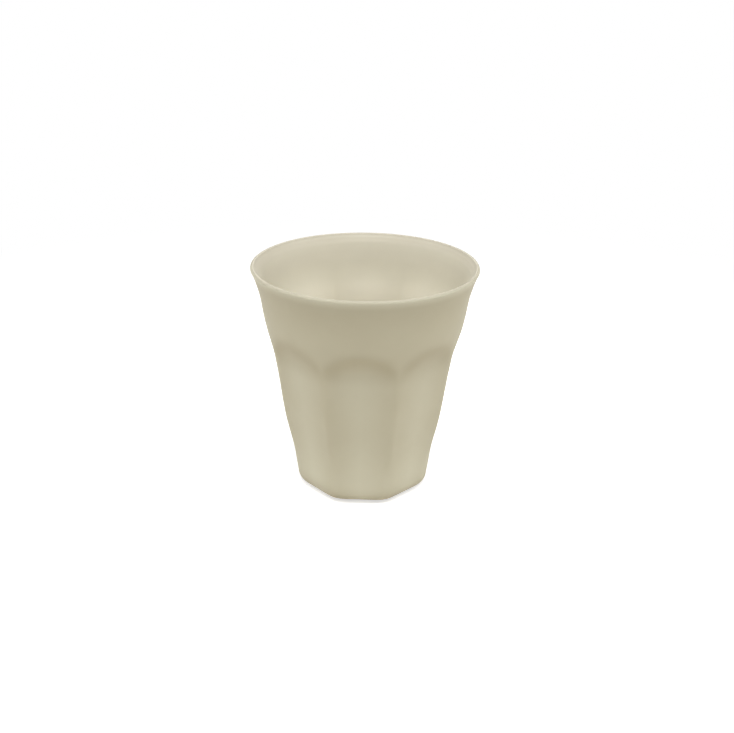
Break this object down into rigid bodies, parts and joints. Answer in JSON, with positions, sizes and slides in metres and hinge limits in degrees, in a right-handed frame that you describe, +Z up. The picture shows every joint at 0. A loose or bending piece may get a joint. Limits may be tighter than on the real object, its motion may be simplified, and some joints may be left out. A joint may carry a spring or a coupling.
{
  "type": "faceted cup",
  "caption": "Handleless ceramic cup with a flared round lip over arched flats, glazed inside and out, standing on a bare foot ring.",
  "frame": {"origin": "middle of the flat face of the foot ring, on the table", "axes": "+Z up along the cup's axis; one flat faces -Y"},
  "size_m": [0.087, 0.087, 0.091],
  "materials": {
    "fired_clay": "bare, fired, matt",
    "liner_glaze": "satin-matt glaze",
    "outer_glaze": "satin-matt glaze"
  },
  "bodies": {
    "root": {"clay_body": "fired_clay", "liner_glaze": "liner_glaze", "outer_glaze": "outer_glaze", "base_glaze": "outer_glaze"}
  },
  "joints": []
}
